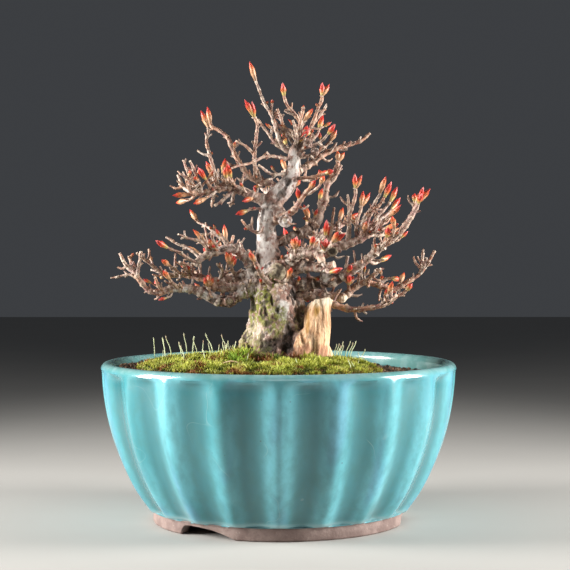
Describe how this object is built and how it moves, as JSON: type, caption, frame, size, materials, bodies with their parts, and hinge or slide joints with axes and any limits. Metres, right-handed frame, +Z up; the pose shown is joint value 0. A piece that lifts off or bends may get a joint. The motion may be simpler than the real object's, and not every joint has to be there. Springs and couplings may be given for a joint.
{
  "type": "trident maple bonsai",
  "caption": "Small leafless trident maple bonsai with swelling red buds and a deadwood stump, rooted in moss and soil in a round fluted turquoise-glazed stoneware pot",
  "frame": {"origin": "on the ground under the middle of the pot's foot ring", "axes": "+Z up along the pot's axis; -Y is the tree's front, the side it is viewed from; +X is to the viewer's right"},
  "size_m": [0.118, 0.118, 0.1523],
  "materials": {
    "glaze": "glossy turquoise glaze, darker grey-teal in the front flutes, pale along its lower edge",
    "bark": "rough grey-tan bark with pinkish twigs, red buds and a tan deadwood stump",
    "moss": "soft yellow-green moss with olive and red-brown patches",
    "soil": "matt dark brown granular soil",
    "chips": "matt dry bark and wood flakes",
    "screen": "matt black plastic mesh"
  },
  "bodies": {
    "root": {"pot": "glaze", "tree": "bark", "moss": "moss", "soil": "soil", "drain_screen": "screen", "bark_chip": "chips", "wood_chip": "chips"}
  },
  "joints": []
}
